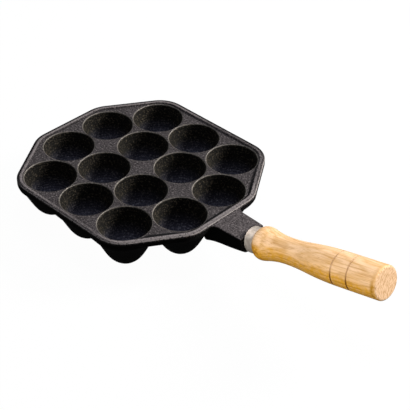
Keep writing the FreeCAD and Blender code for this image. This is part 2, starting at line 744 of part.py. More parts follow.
def make_grip(body):
    """The turned grip: a spigot in the ferrule, a bulge, a waist and a barrel with scored grooves."""
    spigot_x = s.ferrule_wall + s.spigot_end_gap
    spigot_r = s.ferrule_radius - s.ferrule_wall - s.spigot_clearance
    bulge_x = s.ferrule_length + s.bulge_from_shoulder
    waist_x = s.ferrule_length + s.waist_from_shoulder

    def blend(x1, r1, x2, r2, crown):
        """The hollow's radius, and where it meets a crown, on a turning from a crest to a waist."""
        run, fall = x2 - x1, r1 - r2
        both = (run ** 2 + fall ** 2) / (2 * fall)
        hollow = both - crown
        return hollow, x1 + run * crown / both, r1 - crown + (both - fall) * crown / both

    sx, sr = s.ferrule_length.value, s.shoulder_radius.value
    bx, br, crown = bulge_x.value, s.bulge_radius.value, s.bulge_crown_radius.value
    wx, wr = waist_x.value, s.waist_radius.value
    ex, er, barrel_crown = barrel_start.value, s.barrel_radius.value, s.barrel_crown_radius.value
    end_x, rounding = grip_length.value, s.end_rounding.value
    front = ((bx - sx) ** 2 + (br - sr) ** 2) / (2 * (br - sr))
    hollow, meet_x, meet_r = blend(bx, br, wx, wr, crown)
    long_hollow, far_x, far_r = blend(ex, er, wx, wr, barrel_crown)

    sketch = new_sketch(body, "grip_profile", "XZ_Plane")
    half = Outline(sketch, sx, sr)
    bulge_front = half.arc(bx, br, bx, br - front, left=False)
    bulge_back = half.arc(meet_x, meet_r, bx, br - crown, left=False)
    waist_front = half.arc(wx, wr, wx, wr + hollow, left=True)
    half.arc(far_x, far_r, wx, wr + long_hollow, left=True)
    barrel_front = half.arc(ex, er, ex, er - barrel_crown, left=False)
    barrel = half.line(end_x - rounding, er, smooth=True)
    corner = half.arc(end_x, er - rounding, end_x - rounding, er - rounding, left=False)
    end = half.line(end_x, 0, smooth=True)
    axis = half.line(spigot_x.value, 0)
    chamfer_r = spigot_r - s.ferrule_corner_radius
    spigot_end = half.line(spigot_x.value, chamfer_r.value)
    chamfer = half.line((spigot_x + s.ferrule_corner_radius).value, spigot_r.value)
    spigot = half.line(sx, spigot_r.value)
    shoulder = half.line(sx, sr)
    half.close()
    half.level(barrel, spigot, axis)
    half.upright(end, spigot_end, shoulder)
    half.place(bulge_front, CENTRE, bulge_x)
    half.place(shoulder, END, s.ferrule_length, s.shoulder_radius)
    half.place(bulge_back, END, bulge_x, s.bulge_radius)
    half.size(s.bulge_crown_radius, "Radius", bulge_back)
    half.place(waist_front, END, waist_x, s.waist_radius)
    half.place(waist_front, CENTRE, waist_x)
    half.size(s.barrel_crown_radius, "Radius", barrel_front)
    half.place(barrel, START, barrel_start, s.barrel_radius)
    half.size(s.end_rounding, "Radius", corner)
    half.place(axis, START, grip_length, 0)
    half.place(axis, END, spigot_x)
    half.place(spigot_end, END, y=chamfer_r)
    half.place(chamfer, END, spigot_x + s.ferrule_corner_radius, spigot_r)
    spin(body, "Revolution", "turning", sketch, "H_Axis")

    # the blind bore for the stud
    bore_r = s.stud_radius + s.thread_clearance
    bore_end = s.stud_in_grip + s.grip_bore_spare
    sketch = new_sketch(body, "stud_bore_profile", "XZ_Plane")
    hole = Outline(sketch, 0, 0)
    mouth = hole.line(0, bore_r.value)
    wall = hole.line(bore_end.value, bore_r.value)
    bottom = hole.line(bore_end.value, 0)
    axis = hole.line(0, 0)
    hole.close()
    hole.upright(mouth, bottom)
    hole.level(wall, axis)
    hole.rule("Coincident", mouth, START, *ORIGIN)
    hole.place(wall, END, bore_end, bore_r)
    spin(body, "Groove", "stud_bore", sketch, "H_Axis")

    cut_rings(body, "burnt_groove", grip_length - s.groove_from_end, s.barrel_radius,
              s.groove_width, s.groove_depth, s.groove_spacing, s.grooves)


grip_pieces = {"handle_stud": make_stud, "ferrule": make_ferrule, "grip": make_grip}
for label, make in grip_pieces.items():
    piece = new_body(label)
    make(piece)
    put_on_axis(piece)
doc.recompute()


# ---------------------------------------------------------------- checks, and the parts' files

def check(condition, message):
    if not condition:
        raise RuntimeError(message)


ADDS = ("PartDesign::Pad", "PartDesign::Revolution")
CUTS = ("PartDesign::Pocket", "PartDesign::Groove")

for thing in doc.Objects:
    check(not {"Invalid", "Error"} & set(thing.State), f"{thing.Name} failed: {thing.State}")
    if thing.TypeId == "Sketcher::SketchObject" and thing.GeometryCount:
        check(thing.FullyConstrained, f"{thing.Name} isn't fully constrained")
    if thing.TypeId in ADDS + CUTS and thing.BaseFeature:
        change = thing.Shape.Volume - thing.BaseFeature.Shape.Volume
        check(change > 0 if thing.TypeId in ADDS else change < 0, f"{thing.Name} changes nothing")

os.makedirs("parts", exist_ok=True)
for body in doc.findObjects("PartDesign::Body"):
    shape = body.Shape
    check(not shape.isNull() and shape.isValid(), f"{body.Label} has no valid shape")
    check(len(shape.Solids) == 1, f"{body.Label} is in {len(shape.Solids)} pieces")
    shape.exportStep(f"parts/{body.Label}.step")
    box = shape.optimalBoundingBox()
    print(f"{body.Label}: {shape.Volume / 1000:.2f} cm3, {len(shape.Faces)} faces, "
          f"X {box.XMin:.2f}..{box.XMax:.2f}, Y {box.YMin:.2f}..{box.YMax:.2f}, "
          f"Z {box.ZMin:.2f}..{box.ZMax:.2f}")
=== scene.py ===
# %% [markdown]
# # A takoyaki pan, dressed around its fixed frame
# The pan is one iron casting with fourteen deep cups, held by a turned wooden grip on a steel stud.
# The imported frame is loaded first, because it fixes every place and size. Everything made below sits
# where the frame says, in metres.

# %% Load the fixed frame
import bmesh
import bpy
import math
from mathutils import Matrix, Vector


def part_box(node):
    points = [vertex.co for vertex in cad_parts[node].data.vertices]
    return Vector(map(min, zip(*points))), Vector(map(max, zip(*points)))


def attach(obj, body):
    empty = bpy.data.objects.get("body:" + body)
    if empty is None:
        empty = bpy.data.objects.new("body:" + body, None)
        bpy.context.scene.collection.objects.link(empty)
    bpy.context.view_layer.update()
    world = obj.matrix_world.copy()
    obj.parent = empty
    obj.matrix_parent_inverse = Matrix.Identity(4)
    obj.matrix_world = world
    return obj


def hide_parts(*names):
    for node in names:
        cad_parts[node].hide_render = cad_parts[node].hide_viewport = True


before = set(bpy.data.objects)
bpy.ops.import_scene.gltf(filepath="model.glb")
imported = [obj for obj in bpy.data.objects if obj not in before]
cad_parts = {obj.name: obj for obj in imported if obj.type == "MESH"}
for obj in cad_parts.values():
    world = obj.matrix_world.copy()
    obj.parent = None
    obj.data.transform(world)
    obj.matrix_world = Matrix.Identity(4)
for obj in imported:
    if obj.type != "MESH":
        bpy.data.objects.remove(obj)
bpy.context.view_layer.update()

from types import SimpleNamespace

# %% [markdown]
# ## The sizes
# A few driving sizes of the casting are enough. The plate's middle and the height of its cooking face
# come from the frame's box round the pan, so that the dressed casting can't drift from its solid.

# %% Driving sizes of the casting
MM = 0.001
plate_length = 178.8 * MM
plate_width = 166.4 * MM
plate_over_chamfers = 184.4 * MM
chamfer_turn = math.radians(33.4)
corner_radius = 24 * MM
plate_thickness = 4.5 * MM
edge_rounding = 1.2 * MM
under_rounding = 0.8 * MM
rim_width = 5 * MM
rim_rise = 1.3 * MM
rim_lean = math.radians(40)

pan_low, pan_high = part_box("pan")
plate_x = pan_low.x + plate_length / 2
cook_z = pan_high.z - rim_rise
print("plate middle at x", round(plate_x / MM, 2), "mm, cooking face at z", round(cook_z / MM, 2), "mm")

# %% [markdown]
# ## The camera
# The camera stands in front of the pan on its handle side, looking down at about 37 degrees with a long
# lens, so the plate keeps nearly parallel edges. It is made first, because every later choice is judged
# through it.

# %% A new object, and the way out to its stand
def new_object(name, data):
    """An object that shows some data, linked to the scene."""
    made = bpy.data.objects.new(name, data)
    bpy.context.scene.collection.objects.link(made)
    return made


def bearing(azimuth, elevation):
    """The direction out to a stand. Azimuth 0 is in front, on the -Y side, and it grows towards +X."""
    return Vector((math.sin(azimuth) * math.cos(elevation), -math.cos(azimuth) * math.cos(elevation),
                   math.sin(elevation)))


# %% Make the camera
camera_azimuth = math.radians(44.26)
camera_elevation = math.radians(37.32)
camera_roll = math.radians(0.26)
camera_distance = 0.9054
camera_aim = Vector((plate_x + 68.56 * MM, -0.21 * MM, cook_z))
picture_width = 410
focal_pixels = 1212.6

camera = bpy.data.cameras.new("camera")
camera.sensor_fit = "HORIZONTAL"
camera.sensor_width = 36
camera.lens = focal_pixels * camera.sensor_width / picture_width
camera_back = bearing(camera_azimuth, camera_elevation)
level_right = Vector((math.cos(camera_azimuth), math.sin(camera_azimuth), 0))
level_up = camera_back.cross(level_right)
camera_right = level_right * math.cos(camera_roll) + level_up * math.sin(camera_roll)
camera_up = level_up * math.cos(camera_roll) - level_right * math.sin(camera_roll)
camera_stand = new_object("camera", camera)
camera_stand.matrix_world = (Matrix.Translation(camera_aim + camera_back * camera_distance)
                             @ Matrix((camera_right, camera_up, camera_back)).transposed().to_4x4())
bpy.context.scene.camera = camera_stand
bpy.context.scene.view_settings.view_transform = "Standard"
print("camera lens", round(camera.lens, 1), "mm")

# %% [markdown]
# ## Writing node maths as plain sums
# Shader and geometry trees share the same Math nodes. Wiring them by hand hides the formula, so a small
# class wraps a socket and turns Python's operators into Math nodes. Every other node comes from one
# method, which sets the node's own settings first and then fills or links its sockets.

# %% A socket that can be added and multiplied
class Wire:
    """An output socket. Operators on it add Math nodes to its tree."""

    def __init__(self, net, socket):
        self.net = net
        self.socket = socket

    def math(self, operation, *others):
        sockets = {0: self, **{n: other for n, other in enumerate(others, start=1)}}
        return self.net.node("ShaderNodeMath", {"operation": operation}, sockets)

    def __add__(self, other):
        return self.math("ADD", other)

    __radd__ = __add__

    def __sub__(self, other):
        return self.math("SUBTRACT", other)

    def __rsub__(self, other):
        return -self + other

    def __mul__(self, other):
        return self.math("MULTIPLY", other)

    __rmul__ = __mul__

    def __neg__(self):
        return self * -1

    def __pow__(self, other):
        return self.math("POWER", other)

    def __lt__(self, other):
        return self.math("LESS_THAN", other)

    def __gt__(self, other):
        return self.math("GREATER_THAN", other)

    def step(self, start, end):
        """Goes smoothly from 0 to 1 while this value goes from start to end."""
        return self.net.node("ShaderNodeMapRange", {"interpolation_type": "SMOOTHSTEP"},
                             {"Value": self, "From Min": start, "From Max": end})

    def part(self, name):
        """The x, y or z of a vector."""
        return self.net.node("ShaderNodeSeparateXYZ", {}, {0: self}, out=name)


# %% A tree with one method that adds a node
class Net:
    """A node tree. Its node method sets a node's settings, then its sockets, and wraps an output.

    A socket takes a value, a wire, or a list of wires where it joins several.
    """

    def __init__(self, tree):
        self.tree = tree

    def node(self, kind, settings, sockets, out=0):
        made = self.tree.nodes.new(kind)
        for name, value in settings.items():
            setattr(made, name, value)
        for name, value in sockets.items():
            if isinstance(value, (Wire, list)):
                for wire in value if isinstance(value, list) else [value]:
                    self.tree.links.new(wire.socket, made.inputs[name])
            else:
                made.inputs[name].default_value = value
        return Wire(self, made.outputs[out]) if made.outputs else made

    def mix(self, factor, first, second):
        """Two colours mixed by a factor."""
        return self.node("ShaderNodeMix", {"data_type": "RGBA"}, {0: factor, 6: first, 7: second}, out=2)

    def over(self, colour, *layers):
        """A colour with others laid over it in turn, each through its own mask."""
        for mask, layer in layers:
            colour = self.mix(mask, colour, layer)
        return colour


# %% [markdown]
# ## Turning and joining rings of points
# Most of this object is turned: the cups' hollows, the ferrule and the grip. A bmesh helper joins each ring
# of points to the next with faces, and closes a ring onto a single point at a pole. The lathe, the casting's
# blank and the neck's loft are all built on it.

# %% Rings, and a lathe
def join_rings(shape, rings):
    """Faces from each ring to the next. Rings have as many points each, or one point at a pole."""
    for first, second in zip(rings, rings[1:]):
        for n in range(max(len(first), len(second))):
            a, b = first[n % len(first)], first[(n + 1) % len(first)]
            c, d = second[(n + 1) % len(second)], second[n % len(second)]
            shape.faces.new(list(dict.fromkeys((a, b, c, d))))


def lathe(profile, segments, place, closed=False):
    """A bmesh turned round an axis from (along, radius) points, then put in its place."""
    shape = bmesh.new()
    rings = []
    for along, radius in profile:
        turns = [2 * math.pi * n / segments for n in range(segments if radius > 0 else 1)]
        rings.append([shape.verts.new((radius * math.cos(t), radius * math.sin(t), along)) for t in turns])
    join_rings(shape, rings + rings[:1] if closed else rings)
    bmesh.ops.transform(shape, matrix=place, verts=shape.verts)
    return shape


def as_object(name, shape):
    """Turns a bmesh into an object with outward faces."""
    bmesh.ops.recalc_face_normals(shape, faces=shape.faces)
    mesh = bpy.data.meshes.new(name)
    shape.to_mesh(mesh)
    shape.free()
    return new_object(name, mesh)


def arc(centre, radius, start, end, steps):
    """Points on an arc, in degrees, counted the way a protractor counts."""
    turns = [math.radians(start + (end - start) * n / steps) for n in range(steps + 1)]
    return [(centre[0] + radius * math.cos(t), centre[1] + radius * math.sin(t)) for t in turns]


# %% [markdown]
# ## The casting's blank
# The plate is an octagon with unlike sides and round corners. Its outline is worked out for any inset, so
# the rim's whole section, from the cooking face over the rim and down the side, is a list of insets and
# heights. Below the side the blank carries on as rings that shrink to the middle. They lie flat for now:
# the geometry nodes below pull the cups' outsides out of them. The points store a few values on the way,
# for the tree and the finish to read.

# %% The plate's outline at any inset
point_spacing = 1.5 * MM
side_turns = [0, chamfer_turn, math.pi / 2, math.pi - chamfer_turn]
side_turns += [turn + math.pi for turn in side_turns]
side_reaches = [plate_length / 2, plate_over_chamfers / 2, plate_width / 2, plate_over_chamfers / 2] * 2
sides = len(side_turns)


def corner_centre(side):
    """Where the round corner after a side has its centre. It doesn't depend on the inset."""
    following = (side + 1) % sides
    a, b = side_turns[side], side_turns[following]
    p, q = side_reaches[side] - corner_radius, side_reaches[following] - corner_radius
    across = math.sin(b - a)
    return ((p * math.sin(b) - q * math.sin(a)) / across, (q * math.cos(a) - p * math.cos(b)) / across)


def plate_outline(inset):
    """The octagon's points in order, as many at every inset."""
    radius = corner_radius - inset
    points = []
    for side in range(sides):
        turn, after = side_turns[side], side_turns[(side + 1) % sides]
        if after < turn:
            after += 2 * math.pi
        (x0, y0), (x1, y1) = corner_centre(side - 1), corner_centre(side)
        steps = max(2, round(math.hypot(x1 - x0, y1 - y0) / point_spacing))
        for n in range(steps):
            part = n / steps
            points.append((x0 + (x1 - x0) * part + radius * math.cos(turn),
                           y0 + (y1 - y0) * part + radius * math.sin(turn)))
        steps = round(corner_radius * (after - turn) / point_spacing)
        for n in range(steps):
            bend = turn + (after - turn) * n / steps
            points.append((x1 + radius * math.cos(bend), y1 + radius * math.sin(bend)))
    return points


print("outline of", len(plate_outline(0)), "points")

# %% The rim's section, as insets and heights over the cooking face
foot_fillet = 0.5 * MM
crest_rounding = 0.35 * MM
flat_behind_rim = 4 * MM
slope_run = rim_rise * math.tan(rim_lean)
lean_degrees = 90 - math.degrees(rim_lean)
tangent = math.tan(math.radians(lean_degrees) / 2)
crest_inset = rim_width - slope_run

rim_foot = rim_width + foot_fillet * tangent
rim_crest = crest_inset - crest_rounding * tangent
rim_reach = rim_foot + flat_behind_rim
section = [(rim_reach, 0), (rim_foot, 0)]
section += [(rim_foot - x, foot_fillet - y) for y, x in arc((0, 0), foot_fillet, 0, lean_degrees, 4)[1:]]
section += [(rim_crest + x, rim_rise - crest_rounding + y) for y, x in
            reversed(arc((0, 0), crest_rounding, 0, lean_degrees, 3))]
section += [(edge_rounding - x, rim_rise - edge_rounding + y) for x, y in
            reversed(arc((0, 0), edge_rounding, 0, 90, 6))]
print("rim section of", len(section), "points")

# %% The blank
under_rings = 72
face_rings = 16


def make_blank():
    """The plate as one closed mesh. Its points store three values for the tree and the finish.

    "under" is 1 on the lower points, which the tree moves. "lift" is how far such a point stays above the
    cups' outsides. "edge" falls from 1 at the plate's side to 0 where the rim's section ends.
    """
    shape = bmesh.new()
    lift, under, edge = [shape.verts.layers.float.new(name) for name in ("lift", "under", "edge")]

    def ring(inset, z, scale=1.0):
        return [shape.verts.new((plate_x + x * scale, y * scale, z)) for x, y in plate_outline(inset)]

    rings = [[shape.verts.new((plate_x, 0, cook_z))]]
    rings += [ring(section[0][0], cook_z, n / face_rings) for n in range(1, face_rings)]
    for inset, height in section:
        rings.append(ring(inset, cook_z + height))
        for point in rings[-1]:
            point[edge] = 1 - inset / rim_reach
    lower = [(under_rounding - x, under_rounding - y, 1) for x, y in arc((0, 0), under_rounding, 0, 90, 4)]
    lower += [(under_rounding, 0, 1 - n / under_rings) for n in range(1, under_rings)]
    for inset, height, scale in lower:
        rings.append(ring(inset, cook_z - plate_thickness + height, scale))
        for point in rings[-1]:
            point[lift] = height
            point[under] = 1
    rings.append([shape.verts.new((plate_x, 0, cook_z - plate_thickness))])
    rings[-1][0][under] = 1
    join_rings(shape, rings)
    return as_object("pan_casting", shape)


blank = make_blank()
print("blank:", len(blank.data.vertices), "points")

# %% [markdown]
# ## The cups' hollows
# Each hollow is a ball-ended bowl whose wall runs up to a rolled lip. The lip's arc ends a hair above the
# cooking face, so the cut is clean and light slides over it without a hard edge. One turned tool stands for
# all fourteen: the geometry nodes copy it to every cup and cut it out. Its points carry a mark that the cut
# leaves on the cups' walls, so that the finish can tell them from the plate. Other pieces count as 0.

# %% The tool that cuts one cup
cup_mouth_radius = 20 * MM
cup_lip_radius = 1.2 * MM
cup_bowl_radius = 15.5 * MM
cup_depth = 28.5 * MM
lip_overcut = 0.012 * MM
cup_segments = 96


def cup_section():
    """Half of the hollow as (height, radius), from the bottom of the bowl to above its lip."""
    centre = cup_bowl_radius - cup_depth
    lip_x, lip_z = cup_mouth_radius + cup_lip_radius, lip_overcut - cup_lip_radius
    apart = math.hypot(lip_x, lip_z - centre)
    lean = math.acos((cup_bowl_radius + cup_lip_radius) / apart) - math.atan2(lip_z - centre, lip_x)
    steep = math.degrees(lean)
    bowl = [(centre + y, x) for x, y in arc((0, 0), cup_bowl_radius, -90, -steep, 18)]
    lip = [(lip_z + y, lip_x + x) for x, y in arc((0, 0), cup_lip_radius, 180 - steep, 90, 9)]
    (z0, r0), (z1, r1) = bowl[-1], lip[0]
    wall = [(z0 + (z1 - z0) * n / 6, r0 + (r1 - r0) * n / 6) for n in range(1, 6)]
    bowl[0] = (bowl[0][0], 0)
    return bowl + wall + lip + [(cup_lip_radius, lip_x), (cup_lip_radius, 0)]


cup_tool = as_object("cup_tool", lathe(cup_section(), cup_segments, Matrix.Translation((0, 0, cook_z))))
hollow_mark = cup_tool.data.attributes.new("hollow", "FLOAT", "POINT")
hollow_mark.data.foreach_set("value", [1] * len(cup_tool.data.vertices))
print("cup tool:", len(cup_tool.data.polygons), "faces")

# %% [markdown]
# ## The neck
# The neck is a bar that grows out from under the plate, arches up and ends in a face that the ferrule seats
# on. It is lofted: one rounded rectangle after another along its length, each with its own width, depth and
# corner. The last sections lean over until they lie in the end face. Round gussets widen its root.

# %% Sizes of the neck
half_length = plate_length / 2
neck_top = 0.3 * MM
neck_root_half = 13 * MM
neck_tip_half = 12.1 * MM
neck_gusset = 5 * MM
neck_start = half_length - 21 * MM
neck_root = half_length - 8 * MM
neck_crown = half_length + 16.6 * MM
neck_crown_depth = 14 * MM
neck_arch_radius = 55 * MM
neck_tip_depth = 12 * MM
neck_root_corner = 2.5 * MM
neck_tip_corner = 5 * MM
axis_reach = half_length + 27.6 * MM
axis_drop = 5.12 * MM
axis_tilt = math.radians(14)
neck_tip = axis_reach + (neck_tip_depth - axis_drop) * math.tan(axis_tilt)


def neck_depth(x):
    """How deep the underside lies below the cooking face."""
    climb = neck_crown_depth + neck_arch_radius - neck_tip_depth
    run = neck_tip - neck_crown
    touch = math.atan2(climb, run) + math.acos(neck_arch_radius / math.hypot(run, climb))
    touch_x = neck_crown + neck_arch_radius * math.cos(touch)
    touch_depth = neck_crown_depth + neck_arch_radius * (1 - math.sin(touch))
    if x < touch_x:
        arch = math.sqrt(neck_arch_radius ** 2 - (max(x, neck_root) - neck_crown) ** 2)
        deepest = neck_crown_depth + neck_arch_radius - arch
        if x < neck_root:
            part = (x - neck_start) / (neck_root - neck_start)
            return plate_thickness + (deepest - plate_thickness) * part
        return deepest
    return touch_depth + (neck_tip_depth - touch_depth) * (x - touch_x) / (neck_tip - touch_x)


# %% Loft the neck
neck_sections = 44
top_corner = 0.5 * MM
buried_depth = plate_thickness * 0.9


def neck_section(part):
    """One section of the neck, from 0 at its root to 1 at its end face. The first is buried in the plate."""
    x = neck_start + (neck_tip - neck_start) * part
    outside = max(0, (x - half_length - neck_gusset) / (neck_tip - half_length - neck_gusset))
    half = neck_root_half + (neck_tip_half - neck_root_half) * outside
    bottom_corner = neck_root_corner + (neck_tip_corner - neck_root_corner) * outside ** 2
    low, high = -neck_depth(x), neck_top
    if part == 0:
        low, bottom_corner = -buried_depth, top_corner
    corners = [(half - top_corner, high - top_corner, top_corner, 0),
               (-half + top_corner, high - top_corner, top_corner, 90),
               (-half + bottom_corner, low + bottom_corner, bottom_corner, 180),
               (half - bottom_corner, low + bottom_corner, bottom_corner, 270)]
    lean = math.tan(axis_tilt) * outside ** 3
    points = []
    for y, z, radius, start in corners:
        points += arc((y, z), radius, start, start + 90, 6)
    return [(plate_x + x - (neck_tip_depth + z) * lean, y, cook_z + z) for y, z in points]


def loft(name, sections):
    """A closed piece through sections in order, with a face over the first and the last."""
    shape = bmesh.new()
    rings = [[shape.verts.new(point) for point in points] for points in sections]
    join_rings(shape, rings)
    for ring in (rings[0], rings[-1]):
        shape.faces.new(ring)
    return as_object(name, shape)


neck_blank = loft("neck_blank", [neck_section(n / neck_sections) for n in range(neck_sections + 1)])
print("neck:", len(neck_blank.data.vertices), "points")


# %% Widen the neck's root with gussets
def gusset_plan():
    """The web's outline from above, with a quarter-round gusset on each side of the neck."""
    reach = half_length + neck_gusset
    wide = neck_root_half + neck_gusset
    inside = half_length - rim_width / 2
    side = [(reach - neck_gusset * math.sin(t), wide - neck_gusset * math.cos(t))
            for t in (math.pi / 2 * n / 12 for n in range(12, -1, -1))]
    side = [(inside, wide)] + side + [(reach + top_corner, neck_root_half - top_corner)]
    return side + [(x, -y) for x, y in reversed(side)]


gusset_blank = loft("gusset_blank", [[(plate_x + x, y, cook_z + z) for x, y in gusset_plan()]
                                     for z in (neck_top, -plate_thickness)])
print("gussets:", len(gusset_blank.data.vertices), "points")

# %% [markdown]
# ## The casting, by geometry nodes
# The cups follow a rule: two inner rows of four and two outer rows of three, at one pitch. So the tree takes
# the pitch, the gaps and the counts as inputs and makes the cups' middles from them. Each lower point of the
# blank finds its nearest cup and takes the depth of a cup's outside at that distance: a flat foot, a ball, a
# cone, a flare and the plate's underside. A blur melts neighbouring shells together, as a sand mould does.
# Then the neck is joined on and the hollows are cut.

# %% Inputs of the casting's tree
shell_ball = 17 * MM
shell_depth = 34 * MM
shell_draft = math.radians(25)
shell_flare = 8 * MM
flare_top = plate_thickness / 3

soft_from = shell_ball * 0.45
soft_to = shell_ball * 0.85

ball_touch = shell_ball * math.cos(shell_draft)
ball_touch_depth = shell_depth - shell_ball + shell_ball * math.sin(shell_draft)
flare_depth = flare_top + shell_flare
cone_climb = ball_touch_depth - flare_depth
flare_middle = ball_touch + (shell_flare + cone_climb * math.sin(shell_draft)) / math.cos(shell_draft)

casting_inputs = {
    "Cup Pitch": 42 * MM,
    "Inner Row Gap": 41.5 * MM,
    "Outer Row Gap": 36.5 * MM,
    "Inner Row Cups": 4,
    "Outer Row Cups": 3,
    "Plate Middle": plate_x,
    "Cooking Face": cook_z,
    "Plate Thickness": plate_thickness,
    "Ball Radius": shell_ball,
    "Shell Depth": shell_depth,
    "Ball Touch": ball_touch,
    "Cone Slope": 1 / math.tan(shell_draft),
    "Flare Radius": shell_flare,
    "Flare Middle": flare_middle,
    "Flare Touch": flare_middle - shell_flare * math.cos(shell_draft),
    "Flare Depth": flare_depth,
    "Blur": 10,
}
print("a flare's middle is", round(flare_middle / MM, 2), "mm from its cup's axis")


# %% Helpers for a geometry tree
def new_tree(name, inputs, objects):
    """A geometry tree with its named inputs. Returns it and a lookup of its inputs as wires."""
    tree = bpy.data.node_groups.new(name, "GeometryNodeTree")
    tree.interface.new_socket("Geometry", in_out="OUTPUT", socket_type="NodeSocketGeometry")
    tree.interface.new_socket("Geometry", in_out="INPUT", socket_type="NodeSocketGeometry")
    for label, value in inputs.items():
        kind = "NodeSocketInt" if isinstance(value, int) else "NodeSocketFloat"
        tree.interface.new_socket(label, in_out="INPUT", socket_type=kind)
    for label in objects:
        tree.interface.new_socket(label, in_out="INPUT", socket_type="NodeSocketObject")
    tree.interface.new_socket("Finish", in_out="INPUT", socket_type="NodeSocketMaterial")
    net = Net(tree)
    group = net.node("NodeGroupInput", {}, {}).socket.node
    return net, {socket.name: Wire(net, socket) for socket in group.outputs if socket.name}


def run_tree(carrier, net, values):
    """Puts the tree on an object, sets its inputs, and returns the finished plain mesh."""
    modifier = carrier.modifiers.new("tree", "NODES")
    modifier.node_group = net.tree
    for item in net.tree.interface.items_tree:
        if item.in_out == "INPUT" and item.name in values:
            modifier[item.identifier] = values[item.name]
    made = carrier.evaluated_get(bpy.context.evaluated_depsgraph_get())
    mesh = bpy.data.meshes.new_from_object(made)
    carrier.modifiers.remove(modifier)
    return mesh


# %% Where the cups are, and how deep their outsides reach
def cup_middles(net, given):
    """A point for each cup's middle."""
    def rows(gap, cups):
        """The middles of a pair of rows, as a grid of points."""
        return net.node("GeometryNodeMeshGrid", {}, {"Size X": given["Cup Pitch"] * (cups - 1), "Size Y": gap,
                                                     "Vertices X": cups, "Vertices Y": 2})

    inner = rows(given["Inner Row Gap"], given["Inner Row Cups"])
    outer = rows(given["Inner Row Gap"] + given["Outer Row Gap"] * 2, given["Outer Row Cups"])
    both = net.node("GeometryNodeJoinGeometry", {}, {0: [inner, outer]})
    middle = net.node("ShaderNodeCombineXYZ", {}, {"X": given["Plate Middle"]})
    return net.node("GeometryNodeTransform", {}, {"Geometry": both, "Translation": middle})


def outside_depth(given, away):
    """How deep a cup's outside reaches at a distance from its axis, from the foot out to the plate."""
    ball = given["Ball Radius"]
    round_end = (ball * ball - away * away).math("MAXIMUM", 0).math("SQRT")
    ball_depth = given["Shell Depth"] - ball + round_end
    touch = given["Ball Touch"]
    touch_depth = given["Shell Depth"] - ball + (ball * ball - touch * touch).math("SQRT")
    cone_depth = touch_depth - (away - touch) * given["Cone Slope"]
    from_flare = given["Flare Middle"] - away
    flare = given["Flare Radius"]
    flare_rise = (flare * flare - from_flare * from_flare).math("MAXIMUM", 0).math("SQRT")
    near = away < touch
    far = away > given["Flare Touch"]
    shell = near * ball_depth + (1 - near - far) * cone_depth + far * (given["Flare Depth"] - flare_rise)
    return shell.math("MAXIMUM", given["Plate Thickness"]).math("MINIMUM", given["Cooking Face"])


# %% The casting's tree
def casting_tree():
    net, given = new_tree("casting", casting_inputs, ["Neck", "Gussets", "Cup Tool", "Bore Tool"])
    cups = cup_middles(net, given)

    # each lower point takes the depth at its nearest cup, with soft valleys but flat feet
    place = net.node("GeometryNodeInputPosition", {}, {})
    flat = net.node("ShaderNodeCombineXYZ", {}, {"X": place.part("X"), "Y": place.part("Y")})
    away = net.node("GeometryNodeProximity", {"target_element": "POINTS"},
                    {0: cups, "Sample Position": flat}, out="Distance")
    soft = net.node("GeometryNodeBlurAttribute", {"data_type": "FLOAT"},
                    {0: outside_depth(given, away), "Iterations": given["Blur"],
                     "Weight": away.step(soft_from, soft_to)})
    lift, under = [net.node("GeometryNodeInputNamedAttribute", {"data_type": "FLOAT"}, {"Name": name})
                   for name in ("lift", "under")]
    sunk = net.node("ShaderNodeCombineXYZ", {}, {"X": place.part("X"), "Y": place.part("Y"),
                                                 "Z": given["Cooking Face"] - soft + lift})
    shaped = net.node("GeometryNodeSetPosition", {}, {"Geometry": given["Geometry"],
                                                      "Selection": under > 0.5, "Position": sunk})

    # the neck is joined on, then the hollows and the stud's bore are cut
    def tool(name):
        return net.node("GeometryNodeObjectInfo", {}, {"Object": given[name]}, out="Geometry")

    def boolean(operation, sockets):
        return net.node("GeometryNodeMeshBoolean", {"operation": operation, "solver": "MANIFOLD"}, sockets)

    joined = boolean("UNION", {"Mesh 2": [shaped, tool("Neck"), tool("Gussets")]})
    copies = net.node("GeometryNodeInstanceOnPoints", {}, {"Points": cups, "Instance": tool("Cup Tool")})
    hollows = net.node("GeometryNodeRealizeInstances", {}, {"Geometry": copies})
    hollowed = boolean("DIFFERENCE", {"Mesh 1": joined, "Mesh 2": hollows})
    bored = boolean("DIFFERENCE", {"Mesh 1": hollowed, "Mesh 2": tool("Bore Tool")})
    whole = net.node("GeometryNodeRealizeInstances", {}, {"Geometry": bored})
    finished = net.node("GeometryNodeSetMaterial", {}, {"Geometry": whole, "Material": given["Finish"]})
    net.node("NodeGroupOutput", {}, {0: finished})
    return net


# %% [markdown]
# ## The grip's axis
# The stud, the ferrule and the grip share one axis. It leaves the middle of the neck's end face and rises
# towards the hand. Turned pieces are drawn along their own Z and laid on that axis by one matrix.

# %% Lay turned pieces on the grip's axis
axis_start = Vector((plate_x + axis_reach, 0, cook_z - axis_drop))
axis_along = Vector((math.cos(axis_tilt), 0, math.sin(axis_tilt)))
axis_up = Vector((-math.sin(axis_tilt), 0, math.cos(axis_tilt)))
on_axis = (Matrix.Translation(axis_start)
           @ Matrix((axis_up, axis_along.cross(axis_up), axis_along)).transposed().to_4x4())

bore_radius = 4.05 * MM
bore_depth = 16 * MM
bore_section = [(-bore_depth - bore_radius / 2, 0), (-bore_depth, bore_radius), (bore_radius, bore_radius),
                (bore_radius, 0)]
bore_tool = as_object("bore_tool", lathe(bore_section, 48, on_axis))
print("grip's axis starts at", [round(v / MM, 2) for v in axis_start], "mm")

